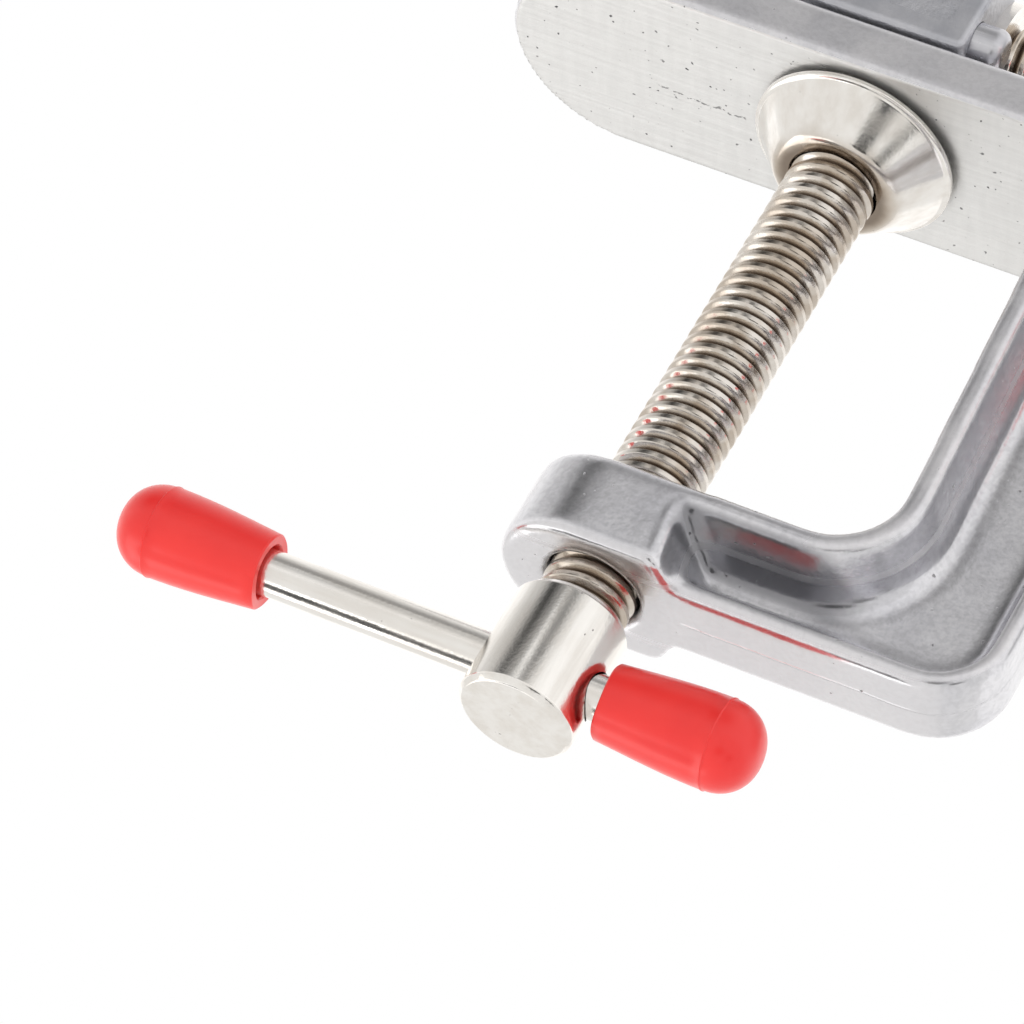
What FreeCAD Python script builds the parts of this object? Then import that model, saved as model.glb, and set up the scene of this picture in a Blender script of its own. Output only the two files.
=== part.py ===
import FreeCAD, Part
import math
import os

# Miniature clamp-on bench vise. All sizes in millimetres.
# Origin: on the clamp screw's axis, at the underside of the bed (the face that rests on the table).
# +Z runs from the clamp handle up to the jaws, +X towards the spine and the main handle.

# ---------------------------------------------------------------- driving sizes
# bed: the plate that lies on the table, with a half-round tongue
bed_thickness = 3.6
bed_width = 15.5
tongue_reach = 24.4
bed_reach = 32.0

# C-frame under the bed
throat_height = 32.1
throat_depth_at_bed = 14.65
throat_depth_at_arm = 16.05
throat_corner_radius = 4.5
throat_top_radius = 3.0
spine_outer_reach = 25.5
outer_corner_radius = 4.9
arm_height = 6.3
inner_flange_width = 10.5
inner_flange_edge = 1.35
inner_flange_root = 2.95
outer_flange_width = 6.0
outer_flange_edge = 1.2
web_thickness = 2.25
pocket_start = 3.7
pocket_end_draft = 2.2
pocket_end_slant = 0.8
pocket_top_margin = 1.2
pocket_corner_radius = 0.6
flange_edge_radius = 0.6
throat_edge_radius = 0.35
boss_flat_start = -1.05
gusset_drop = 6.0

# screws: both have the same thread and the same drilled head
thread_diameter = 5.9
thread_pitch = 1.0
thread_depth = 0.54
head_diameter = 7.55
head_length = 8.3
bar_hole_to_end = 3.5
head_chamfer = 0.35

# clamp
clamp_neck = 2.1
pad_diameter = 13.6
pad_rim = 0.7
pad_height = 3.4
pad_crown_diameter = 7.9
pad_socket_depth = 0.8
pad_spigot_diameter = 3.0
pad_rivet_diameter = 5.0
pad_rivet_recess = 1.3
pad_rivet_height = 0.7

# vise
lead_height = 6.0
jaw_height = 16.4
fixed_jaw_depth = 9.0
moving_jaw_width = 15.0
moving_jaw_depth = 10.85
moving_jaw_lift = 0.5
jaw_shoulder_height = 8.9
jaw_crown_depth = 6.5
jaw_plate_thickness = 1.4
jaw_plate_width = 14.5
jaw_plate_height = 7.4
rest_opening = 7.0
head_reserve = 1.0
bracket_thickness = 6.5
bracket_radius = 5.5
bracket_foot_width = 14.0
side_panel_margin = 1.5
side_panel_depth = 0.25
cast_edge_radius = 0.5
bed_lower_edge = 0.2
bed_upper_edge = 0.5
foot_radius = 0.8

# guide rods, pressed into the fixed jaw; the moving jaw slides on them
rod_diameter = 3.0
rod_spacing = 11.1
rod_height = 2.6
rod_stub = 2.1
rod_seat = 4.1
rod_least_overlap = 5.0
rod_end_radius = 0.8

# lead screw's turned end, which runs in the moving jaw
journal_diameter = 4.2
journal_inset = 0.4
washer_diameter = 8.6
washer_thickness = 0.8
ring_recess_diameter = 7.4
ring_recess_depth = 2.0
ring_diameter = 6.4
ring_thickness = 0.6
ring_groove_depth = 0.5
ring_gap_width = 1.6

# countersunk screws that hold the jaw plates
plate_screw_diameter = 1.9
plate_screw_head = 3.4
plate_screw_length = 5.0
plate_screw_spacing = 8.4
plate_screw_slot = 0.45

# T-bars with push-on caps
bar_diameter = 2.95
handle_length = 42.8
cap_length = 10.0
cap_mouth_diameter = 4.9
cap_dome_diameter = 5.8
cap_end_wall = 1.2
cap_mouth_bore = 3.5
cap_mouth_depth = 1.2
clamp_bar_shift = -6.8
main_bar_shift = 2.5

# clearances
running_gap = 0.05
bar_gap = 0.08
thread_gap = 0.1
screw_hole_gap = 0.05

# ---------------------------------------------------------------- dependent sizes
arm_top = -throat_height
arm_bottom = arm_top - arm_height
bed_top = bed_thickness
jaw_top = bed_top + jaw_height
lead_z = bed_top + lead_height
rod_z = bed_top + rod_height
tongue_radius = bed_width / 2
tongue_centre = -tongue_reach + tongue_radius
boss_radius = inner_flange_width / 2
thread_radius = thread_diameter / 2
thread_bore = thread_radius + thread_gap

fixed_face = -tongue_reach + fixed_jaw_depth
fixed_plate_face = fixed_face + jaw_plate_thickness
moving_plate_face = fixed_plate_face + rest_opening
moving_face = moving_plate_face + jaw_plate_thickness
moving_back = moving_face + moving_jaw_depth
bracket_face = bed_reach - bracket_thickness
rod_end = moving_back + rod_stub
opening_travel = rod_end - moving_face - rod_least_overlap
plate_z = jaw_top - jaw_plate_height / 2
clamp_head_top = arm_bottom - clamp_neck
clamp_bar_z = clamp_head_top - head_length + bar_hole_to_end
lead_head_start = bed_reach + rest_opening + head_reserve
main_bar_x = lead_head_start + head_length - bar_hole_to_end

X = FreeCAD.Vector(1, 0, 0)
Y = FreeCAD.Vector(0, 1, 0)
Z = FreeCAD.Vector(0, 0, 1)


def point(x, y, z):
    return FreeCAD.Vector(x, y, z)


# ---------------------------------------------------------------- building blocks
def rounded_outline(corners, to_point):
    """Closed wire through (u, v, radius) corners, each rounded by a tangent arc."""
    count = len(corners)
    edges = []
    last_end = None
    first_start = None
    for index in range(count):
        here = point(corners[index][0], corners[index][1], 0)
        before = point(corners[index - 1][0], corners[index - 1][1], 0) - here
        after_corner = corners[(index + 1) % count]
        after = point(after_corner[0], after_corner[1], 0) - here
        radius = corners[index][2]
        half_angle = before.getAngle(after) / 2
        before.normalize()
        after.normalize()
        setback = radius / math.tan(half_angle)
        arc_start = here + before * setback
        arc_end = here + after * setback
        if last_end is not None:
            edges.append(Part.LineSegment(to_point(last_end), to_point(arc_start)).toShape())
        else:
            first_start = arc_start
        if radius > 0:
            inward = before + after
            inward.normalize()
            middle = here + inward * (radius / math.sin(half_angle) - radius)
            arc = Part.Arc(to_point(arc_start), to_point(middle), to_point(arc_end))
            edges.append(arc.toShape())
        last_end = arc_end
    edges.append(Part.LineSegment(to_point(last_end), to_point(first_start)).toShape())
    return Part.Wire(edges)


def side_view(y):
    """Turns (u, v) into the XZ plane at the given y."""
    return lambda p: point(p.x, y, p.y)


def end_view(x):
    """Turns (u, v) into the YZ plane at the given x."""
    return lambda p: point(x, p.x, p.y)


def side_slab(corners, y_from, y_to):
    face = Part.Face(rounded_outline(corners, side_view(y_from)))
    return face.extrude(point(0, y_to - y_from, 0))


def end_slab(corners, x_from, x_to):
    face = Part.Face(rounded_outline(corners, end_view(x_from)))
    return face.extrude(point(x_to - x_from, 0, 0))


def box(x_from, x_to, y_from, y_to, z_from, z_to):
    size = point(x_to - x_from, y_to - y_from, z_to - z_from)
    return Part.makeBox(size.x, size.y, size.z, point(x_from, y_from, z_from))


def rod(radius, start, direction, length):
    return Part.makeCylinder(radius, length, start, direction)


def turned(outline, start, direction):
    """Solid of revolution from (radius, distance) points along an axis."""
    corners = [point(radius, 0, distance) for radius, distance in outline]
    face = Part.Face(Part.makePolygon(corners + [corners[0]]))
    solid = face.revolve(point(0, 0, 0), Z, 360)
    solid.Placement = FreeCAD.Placement(start, FreeCAD.Rotation(Z, direction))
    return solid


def round_edges(solid, radius, wanted):
    """Fillets every edge that the test picks."""
    edges = [edge for edge in solid.Edges if wanted(edge)]
    return solid.makeFillet(radius, edges)


def middle_of(edge):
    return edge.valueAt((edge.FirstParameter + edge.LastParameter) / 2)


def near(a, b):
    return abs(a - b) < 0.01


def ring_threads(start, end):
    """Outline points for parallel thread grooves between two distances."""
    root = thread_radius - thread_depth
    crest_flat = thread_pitch / 8
    root_flat = thread_pitch / 4
    slope = (thread_pitch - crest_flat - root_flat) / 2
    turns = int((end - start) / thread_pitch)
    first = start + (end - start - turns * thread_pitch) / 2
    points = []
    for turn in range(turns):
        base = first + turn * thread_pitch
        points.append((thread_radius, base + crest_flat / 2))
        points.append((root, base + crest_flat / 2 + slope))
        points.append((root, base + crest_flat / 2 + slope + root_flat))
        points.append((thread_radius, base + thread_pitch - crest_flat / 2))
    return points


# ---------------------------------------------------------------- casting
def throat_line(offset, x_start, offset_at_spine):
    """The throat's contour moved into the metal: arm, inner corner and spine, as corners."""
    slant = (throat_depth_at_arm - throat_depth_at_bed) / throat_height
    lean = math.hypot(1, slant)
    z_arm = arm_top - offset
    x_at_arm = throat_depth_at_bed - slant * z_arm + offset_at_spine * lean
    x_at_bed = throat_depth_at_bed + offset_at_spine * lean
    return (x_start, z_arm), (x_at_arm, z_arm), (x_at_bed, 0)


def frame_block():
    """Arm and spine at the inner flange's width, before the pockets are taken out."""
    start, corner, at_bed = throat_line(0, boss_flat_start, 0)
    slant = (throat_depth_at_arm - throat_depth_at_bed) / throat_height
    profile = [
        (start[0], start[1], 0),
        (corner[0], corner[1], throat_corner_radius),
        (at_bed[0], at_bed[1], 0),
        (at_bed[0] - slant * bed_top / 2, bed_top / 2, 0),
        (spine_outer_reach, bed_top / 2, 0),
        (spine_outer_reach, arm_bottom, outer_corner_radius),
        (start[0], arm_bottom, 0),
    ]
    return side_slab(profile, -boss_radius, boss_radius)


def pocket_outline(y_distance, open_outside):
    """Outline of the recess beside the web at one distance from the middle plane."""
    share = (y_distance - web_thickness / 2) / (boss_radius - web_thickness / 2)
    inner = inner_flange_root + (inner_flange_edge - inner_flange_root) * share
    start_x = pocket_start + pocket_end_draft * (1 - share)
    top_z = -pocket_top_margin - pocket_end_draft * (1 - share)
    slant = (throat_depth_at_arm - throat_depth_at_bed) / throat_height
    start, corner, at_bed = throat_line(inner, start_x, inner)
    inner_corners = [
        (start[0], start[1], pocket_corner_radius),
        (corner[0], corner[1], throat_corner_radius + inner),
        (at_bed[0] - slant * top_z, top_z, pocket_corner_radius),
    ]
    if open_outside:
        beyond_x = spine_outer_reach + 2
        beyond_z = arm_bottom - 2
        return inner_corners + [(beyond_x, top_z, 0), (beyond_x, beyond_z, 0),
                                (start[0] + pocket_end_slant, beyond_z, 0)]
    outer_x = spine_outer_reach - outer_flange_edge
    outer_z = arm_bottom + outer_flange_edge
    return inner_corners + [(outer_x, top_z, pocket_corner_radius),
                            (outer_x, outer_z, outer_corner_radius - outer_flange_edge),
                            (start[0] + pocket_end_slant, outer_z, pocket_corner_radius)]


def recess_layer(side, y_inner, y_outer, open_outside):
    """Drafted slice of the recess between two distances from the middle plane."""
    inner = rounded_outline(pocket_outline(y_inner, open_outside), side_view(side * y_inner))
    outer = rounded_outline(pocket_outline(y_outer, open_outside), side_view(side * y_outer))
    return Part.makeLoft([inner, outer], True, True)


def casting_frame():
    """Arm and spine: wide flange on the throat, narrow flange outside, web between."""
    frame = frame_block().fuse(clamp_boss()).removeSplitter()
    middle = outer_flange_width / 2
    for side in (-1, 1):
        frame = frame.cut(recess_layer(side, middle, boss_radius + 0.1, True))
        frame = frame.cut(recess_layer(side, web_thickness / 2, middle, False))
    frame = frame.removeSplitter().Solids[0]
    frame = round_edges(frame, flange_edge_radius, is_outer_flange_edge)
    frame = round_edges(frame, throat_edge_radius, is_throat_or_boss_edge)
    return frame


def on_outer_contour(p):
    """True on the arm's underside, the outer corner or the spine's outer face."""
    return near(p.z, arm_bottom) or near(p.x, spine_outer_reach) or (
        p.x > spine_outer_reach - outer_corner_radius and p.z < arm_bottom + outer_corner_radius
        and near(math.hypot(p.x - spine_outer_reach + outer_corner_radius,
                            p.z - arm_bottom - outer_corner_radius), outer_corner_radius))


def is_outer_flange_edge(edge):
    p = middle_of(edge)
    return near(abs(p.y), outer_flange_width / 2) and on_outer_contour(p) and p.z < -pocket_top_margin


def is_throat_or_boss_edge(edge):
    p = middle_of(edge)
    at_side = near(abs(p.y), boss_radius)
    round_end = p.x < boss_flat_start and near(math.hypot(p.x - boss_flat_start, p.y), boss_radius)
    level = near(p.z, arm_top) or near(p.z, arm_bottom)
    middle_depth = (throat_depth_at_bed + throat_depth_at_arm) / 2
    throat = arm_top < p.z < -1 and p.x < middle_depth + 0.02
    return (round_end and level) or (at_side and (near(p.z, arm_top) or throat or
                                                  (near(p.z, arm_bottom) and p.x < pocket_start)))


def clamp_boss():
    """Half-round end of the arm, as tall as the arm."""
    boss = rod(boss_radius, point(boss_flat_start, 0, arm_bottom), Z, arm_height)
    return boss


def bed():
    """Plate with a half-round tongue at one end."""
    half = bed_width / 2
    slab = box(tongue_centre, bed_reach, -half, half, 0, bed_top)
    tongue = rod(tongue_radius, point(tongue_centre, 0, 0), Z, bed_top)
    plate = slab.fuse(tongue).removeSplitter().Solids[0]
    plate = round_edges(plate, bed_lower_edge, lambda edge: near(middle_of(edge).z, 0))
    return round_edges(plate, bed_upper_edge, lambda edge: near(middle_of(edge).z, bed_top))


def bed_gusset():
    """Rib that carries the end of the bed beyond the spine."""
    profile = [
        (spine_outer_reach - 1, bed_top / 2, 0),
        (bed_reach - 1, bed_top / 2, 0),
        (bed_reach - 1, 0, 0),
        (spine_outer_reach, -gusset_drop, 0),
        (spine_outer_reach - 1, -gusset_drop, 0),
    ]
    half = outer_flange_width / 2 - flange_edge_radius
    return side_slab(profile, -half, half)


def fixed_jaw():
    """Jaw that stands on the tongue and follows its half-round outline."""
    half = bed_width / 2
    low = bed_top / 2
    slab = box(tongue_centre, fixed_face, -half, half, low, jaw_top)
    back = rod(tongue_radius, point(tongue_centre, 0, low), Z, jaw_top - low)
    crown_back = fixed_face - jaw_crown_depth
    fall = (jaw_height - jaw_shoulder_height) / (crown_back + tongue_reach)
    beyond = -tongue_reach - 1
    side = [
        (fixed_face, low, 0),
        (fixed_face, jaw_top, 0),
        (crown_back, jaw_top, 1.0),
        (beyond, jaw_top - fall * (crown_back - beyond), 0),
        (beyond, low, 0),
    ]
    jaw = slab.fuse(back).removeSplitter().common(side_slab(side, -half, half)).Solids[0]
    return round_edges(jaw, cast_edge_radius, lambda edge: middle_of(edge).z > bed_top + jaw_shoulder_height
                       and middle_of(edge).x < fixed_face - 0.01)


def nut_bracket():
    """Arched block at the bed's end, bored for the lead screw."""
    foot = bracket_foot_width / 2
    top = lead_z + bracket_radius
    arch = [
        (-foot, bed_top / 2, 0),
        (foot, bed_top / 2, 0),
        (foot, bed_top, 0),
        (bracket_radius, top, bracket_radius * 0.8),
        (-bracket_radius, top, bracket_radius * 0.8),
        (-foot, bed_top, 0),
    ]
    block = end_slab(arch, bracket_face, bed_reach)
    return round_edges(block, cast_edge_radius, lambda edge: middle_of(edge).z > bed_top + 0.1
                       and near(abs(middle_of(edge).x - (bracket_face + bed_reach) / 2), bracket_thickness / 2))


def cove(wall_x, floor_z, x_sign, z_sign, radius, half_width):
    """Rounded inside corner between an upright wall and a level face."""
    into = 0.4
    block = box(min(wall_x - x_sign * into, wall_x + x_sign * radius),
                max(wall_x - x_sign * into, wall_x + x_sign * radius), -half_width, half_width,
                min(floor_z - z_sign * into, floor_z + z_sign * radius),
                max(floor_z - z_sign * into, floor_z + z_sign * radius))
    axis = point(wall_x + x_sign * radius, -half_width - 1, floor_z + z_sign * radius)
    return block.cut(rod(radius, axis, Y, 2 * half_width + 2))


def body_coves():
    flat_half = bed_width / 2 - bed_upper_edge
    lean = (throat_depth_at_arm - throat_depth_at_bed) / throat_height * throat_top_radius
    return [
        cove(fixed_face, bed_top, 1, 1, foot_radius, flat_half),
        cove(bracket_face, bed_top, -1, 1, foot_radius, bracket_foot_width / 2 - cast_edge_radius),
        cove(throat_depth_at_bed + lean / 2, 0, -1, -1, throat_top_radius, boss_radius - throat_edge_radius),
    ]


def body_casting():
    casting = casting_frame().fuse([bed(), bed_gusset(), fixed_jaw(), nut_bracket()] + body_coves())
    casting = casting.removeSplitter().Solids[0]
    casting = casting.cut(rod(thread_bore, point(0, 0, arm_bottom - 1), Z, arm_height + 2))
    casting = casting.cut(rod(thread_bore, point(bracket_face - 1, 0, lead_z), X, bracket_thickness + 2))
    for side in (-1, 1):
        start = point(-tongue_reach - 1, side * rod_spacing / 2, rod_z)
        casting = casting.cut(rod(rod_diameter / 2, start, X, fixed_jaw_depth + 2))
        casting = casting.cut(plate_screw_hole(fixed_face, -1, side))
    return casting


# ---------------------------------------------------------------- moving jaw
def moving_jaw():
    half = moving_jaw_width / 2
    low = bed_top + moving_jaw_lift
    shoulder = bed_top + jaw_shoulder_height
    side = [
        (moving_face, low, 0),
        (moving_back, low, 0.6),
        (moving_back, shoulder, 2.0),
        (moving_face + jaw_crown_depth, jaw_top, 1.0),
        (moving_face, jaw_top, 0),
    ]
    jaw = side_slab(side, -half, half)
    jaw = round_edges(jaw, cast_edge_radius, lambda edge: abs(middle_of(edge).y) > half - 0.01
                      and middle_of(edge).x > moving_face + 0.01)
    jaw = jaw.cut(rod(journal_diameter / 2 + running_gap, point(moving_face - 1, 0, lead_z), X,
                      moving_jaw_depth + 2))
    jaw = jaw.cut(rod(ring_recess_diameter / 2, point(moving_face - 1, 0, lead_z), X,
                      ring_recess_depth + 1))
    for direction in (-1, 1):
        start = point(moving_face - 1, direction * rod_spacing / 2, rod_z)
        jaw = jaw.cut(rod(rod_diameter / 2 + running_gap, start, X, moving_jaw_depth + 2))
        jaw = jaw.cut(plate_screw_hole(moving_face, 1, direction))
        jaw = jaw.cut(side_panel(direction))
    return jaw


def side_panel(side):
    """Shallow as-cast panel in the moving jaw's flank."""
    half = moving_jaw_width / 2
    margin = side_panel_margin
    low = bed_top + moving_jaw_lift + margin
    shoulder = bed_top + jaw_shoulder_height
    profile = [
        (moving_face + margin, low, 0.8),
        (moving_back - margin, low, 0.8),
        (moving_back - margin, shoulder - margin / 2, 1.5),
        (moving_face + jaw_crown_depth - margin, jaw_top - margin, 0.8),
        (moving_face + margin, jaw_top - margin, 0.8),
    ]
    return side_slab(profile, side * (half - side_panel_depth), side * (half + 1))


def guide_rod(side):
    """Plain rod on one side of the lead screw, driven into the fixed jaw, with a rounded free end."""
    start_x = fixed_face - rod_seat
    start = point(start_x, side * rod_spacing / 2, rod_z)
    solid = rod(rod_diameter / 2, start, X, rod_end - start_x)
    return round_edges(solid, rod_end_radius, lambda edge: near(edge.Length, math.pi * rod_diameter)
                       and middle_of(edge).x > moving_face)


# ---------------------------------------------------------------- jaw plates and their screws
def plate_screw_hole(face_x, direction, side):
    """Hole in a jaw for one plate screw, from the jaw's face into the metal."""
    depth = plate_screw_length - jaw_plate_thickness + 0.3
    start = point(face_x - direction * 0.5, side * plate_screw_spacing / 2, plate_z)
    return rod(plate_screw_diameter / 2 + screw_hole_gap, start, X * direction, depth + 0.5)


def jaw_plate(face_x, direction):
    """Flat steel face; direction points from the work into the jaw."""
    half = jaw_plate_width / 2
    low = jaw_top - jaw_plate_height
    plate = box(min(face_x, face_x + direction * jaw_plate_thickness),
                max(face_x, face_x + direction * jaw_plate_thickness), -half, half, low, jaw_top)
    for side in (-1, 1):
        start = point(face_x, side * plate_screw_spacing / 2, plate_z)
        plate = plate.cut(turned(countersink_outline(screw_hole_gap), start, X * direction))
    return plate


def countersink_outline(gap):
    head = plate_screw_head / 2 + gap
    shank = plate_screw_diameter / 2 + gap
    return [(0, -0.5), (head, -0.5), (head, 0.15), (shank, 0.15 + head - shank),
            (shank, jaw_plate_thickness + 0.5), (0, jaw_plate_thickness + 0.5)]


def plate_screw(face_x, direction, side):
    """Slotted countersunk screw, just below the plate's face."""
    head = plate_screw_head / 2
    shank = plate_screw_diameter / 2
    sunk = 0.1
    outline = [(0, sunk), (head, sunk), (head, 0.15), (shank, 0.15 + head - shank),
               (shank, plate_screw_length - 0.3), (shank - 0.3, plate_screw_length),
               (0, plate_screw_length)]
    start = point(face_x, side * plate_screw_spacing / 2, plate_z)
    screw = turned(outline, start, X * direction)
    slot_depth = 0.5
    slot_x = face_x + direction * (sunk + slot_depth / 2)
    slot = box(slot_x - slot_depth / 2, slot_x + slot_depth / 2, start.y - 3, start.y + 3,
               plate_z - plate_screw_slot / 2, plate_z + plate_screw_slot / 2)
    return screw.cut(slot)


# ---------------------------------------------------------------- screws
def head_outline(start, end):
    """Drilled round head between two distances, chamfered at both ends."""
    radius = head_diameter / 2
    c = head_chamfer
    return [(radius - c, start), (radius, start + c), (radius, end - c), (radius - c, end)]


def lead_screw():
    """Main screw: turned end in the jaw, thread through the bracket, drilled head outside."""
    journal = journal_diameter / 2
    tip = moving_face + journal_inset
    shoulder = moving_back + washer_thickness + running_gap
    groove_end = moving_face + ring_recess_depth
    groove_start = groove_end - ring_thickness - 2 * running_gap
    head_end = lead_head_start + head_length
    outline = [(0, tip), (journal - 0.3, tip), (journal, tip + 0.3), (journal, groove_start),
               (journal - ring_groove_depth, groove_start), (journal - ring_groove_depth, groove_end),
               (journal, groove_end), (journal, shoulder), (thread_radius - 0.4, shoulder),
               (thread_radius, shoulder + 0.4)]
    outline += ring_threads(shoulder + 0.4, lead_head_start)
    outline += head_outline(lead_head_start, head_end) + [(0, head_end)]
    screw = turned(outline, point(0, 0, lead_z), X)
    hole_start = point(main_bar_x, -head_diameter, lead_z)
    return screw.cut(rod(bar_diameter / 2 + bar_gap, hole_start, Y, 2 * head_diameter))


def clamp_screw():
    """Clamp screw: drilled head below, thread through the boss, riveted end in the pad."""
    spigot = pad_spigot_diameter / 2
    rivet = pad_rivet_diameter / 2
    shoulder = -pad_height + pad_socket_depth - running_gap
    rivet_base = -pad_rivet_recess + running_gap
    head_end = clamp_head_top - head_length
    outline = [(0, head_end)] + head_outline(head_end, clamp_head_top)
    outline += [(thread_radius, clamp_head_top)]
    outline += ring_threads(clamp_head_top, shoulder - 0.4)
    outline += [(thread_radius, shoulder - 0.4), (thread_radius - 0.4, shoulder), (spigot, shoulder),
                (spigot, rivet_base), (rivet, rivet_base), (rivet, rivet_base + 0.3),
                (rivet * 0.6, rivet_base + pad_rivet_height), (0, rivet_base + pad_rivet_height)]
    screw = turned(outline, point(0, 0, 0), Z)
    hole_start = point(-head_diameter, 0, clamp_bar_z)
    return screw.cut(rod(bar_diameter / 2 + bar_gap, hole_start, X, 2 * head_diameter))


def clamp_pad():
    """Dished swivel pad: flat face up, crowned side down, with a socket for the screw's end."""
    outer = pad_diameter / 2
    crown = pad_crown_diameter / 2
    socket = thread_radius + 0.25
    bore = pad_spigot_diameter / 2 + running_gap
    recess = pad_rivet_diameter / 2 + 0.25
    crown_start = point(outer - 0.35, 0, -pad_rim - 0.15)
    crown_middle = point((outer + crown) / 2 + 0.1, 0, -pad_rim - (pad_height - pad_rim) * 0.62)
    crown_end = point(crown, 0, -pad_height)
    edges = [
        Part.LineSegment(point(bore, 0, -pad_rivet_recess), point(recess, 0, -pad_rivet_recess)),
        Part.LineSegment(point(recess, 0, -pad_rivet_recess), point(recess, 0, 0)),
        Part.LineSegment(point(recess, 0, 0), point(outer, 0, 0)),
        Part.LineSegment(point(outer, 0, 0), point(outer, 0, -pad_rim)),
        Part.LineSegment(point(outer, 0, -pad_rim), crown_start),
        Part.Arc(crown_start, crown_middle, crown_end),
        Part.LineSegment(crown_end, point(socket + 0.2, 0, -pad_height)),
        Part.LineSegment(point(socket + 0.2, 0, -pad_height), point(socket, 0, -pad_height + pad_socket_depth)),
        Part.LineSegment(point(socket, 0, -pad_height + pad_socket_depth),
                         point(bore, 0, -pad_height + pad_socket_depth)),
        Part.LineSegment(point(bore, 0, -pad_height + pad_socket_depth), point(bore, 0, -pad_rivet_recess)),
    ]
    face = Part.Face(Part.Wire([edge.toShape() for edge in edges]))
    return face.revolve(point(0, 0, 0), Z, 360)


def thrust_washer():
    start = point(moving_back, 0, lead_z)
    ring = rod(washer_diameter / 2, start, X, washer_thickness)
    hole = rod(journal_diameter / 2 + running_gap, start - X, X, washer_thickness + 2)
    return ring.cut(hole)


def retaining_ring():
    """Open ring that snaps into the journal's groove and keeps the screw in the jaw."""
    x_start = moving_face + ring_recess_depth - running_gap - ring_thickness
    start = point(x_start, 0, lead_z)
    inner = journal_diameter / 2 - ring_groove_depth + running_gap
    ring = rod(ring_diameter / 2, start, X, ring_thickness).cut(rod(inner, start - X, X, ring_thickness + 2))
    gap = box(x_start - 1, x_start + ring_thickness + 1, -ring_gap_width / 2, ring_gap_width / 2,
              lead_z - ring_diameter, lead_z)
    return ring.cut(gap)


# ---------------------------------------------------------------- handles
def handle_bar(centre, direction):
    length = handle_length - 2 * cap_end_wall
    bar = rod(bar_diameter / 2, centre - direction * (length / 2), direction, length)
    return round_edges(bar, 0.3, lambda edge: near(edge.Length, math.pi * bar_diameter))


def handle_cap(centre, direction):
    """Push-on cap with a domed end; direction points from the bar's middle to this end."""
    mouth = cap_mouth_diameter / 2
    dome = cap_dome_diameter / 2
    bore = bar_diameter / 2
    open_bore = cap_mouth_bore / 2
    dome_start = cap_length - dome
    bottom = cap_length - cap_end_wall
    arc_middle = point(dome * math.cos(math.pi / 4), 0, dome_start + dome * math.sin(math.pi / 4))
    edges = [
        Part.LineSegment(point(0, 0, bottom), point(bore, 0, bottom)),
        Part.LineSegment(point(bore, 0, bottom), point(bore, 0, cap_mouth_depth + 0.3)),
        Part.LineSegment(point(bore, 0, cap_mouth_depth + 0.3), point(open_bore, 0, cap_mouth_depth)),
        Part.LineSegment(point(open_bore, 0, cap_mouth_depth), point(open_bore, 0, 0)),
        Part.LineSegment(point(open_bore, 0, 0), point(mouth, 0, 0)),
        Part.LineSegment(point(mouth, 0, 0), point(dome, 0, dome_start)),
        Part.Arc(point(dome, 0, dome_start), arc_middle, point(0, 0, cap_length)),
        Part.LineSegment(point(0, 0, cap_length), point(0, 0, bottom)),
    ]
    face = Part.Face(Part.Wire([edge.toShape() for edge in edges]))
    cap = face.revolve(point(0, 0, 0), Z, 360)
    start = centre + direction * (handle_length / 2 - cap_length)
    cap.Placement = FreeCAD.Placement(start, FreeCAD.Rotation(Z, direction))
    return cap


# ---------------------------------------------------------------- the whole vise
def all_pieces():
    clamp_bar_centre = point(clamp_bar_shift, 0, clamp_bar_z)
    main_bar_centre = point(main_bar_x, main_bar_shift, lead_z)
    pieces = {
        "body_casting": body_casting(),
        "moving_jaw": moving_jaw(),
        "fixed_jaw_plate": jaw_plate(fixed_plate_face, -1),
        "moving_jaw_plate": jaw_plate(moving_plate_face, 1),
        "lead_screw": lead_screw(),
        "lead_screw_thrust_washer": thrust_washer(),
        "lead_screw_retaining_ring": retaining_ring(),
        "main_handle_bar": handle_bar(main_bar_centre, Y),
        "clamp_screw": clamp_screw(),
        "clamp_pad": clamp_pad(),
        "clamp_handle_bar": handle_bar(clamp_bar_centre, X),
        "clamp_handle_cap_inner": handle_cap(clamp_bar_centre, X),
        "clamp_handle_cap_outer": handle_cap(clamp_bar_centre, -X),
    }
    for name, side in (("left", 1), ("right", -1)):
        pieces["guide_rod_" + name] = guide_rod(side)
        pieces["fixed_jaw_screw_" + name] = plate_screw(fixed_plate_face, -1, side)
        pieces["moving_jaw_screw_" + name] = plate_screw(moving_plate_face, 1, side)
        pieces["main_handle_cap_" + name] = handle_cap(main_bar_centre, Y * side)
    return pieces


os.makedirs("parts", exist_ok=True)
for node_name, shape in all_pieces().items():
    solid = shape.Solids[0]
    print(node_name, "solids", len(shape.Solids), "valid", solid.isValid(), "mm3", round(solid.Volume, 2))
    shape.exportStep("parts/" + node_name + ".step")
print("jaws open from 0 to", round(rest_opening + opening_travel, 2), "mm")
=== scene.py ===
import math

import bmesh
import bpy
import numpy as np
from mathutils import Matrix, Vector


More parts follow.
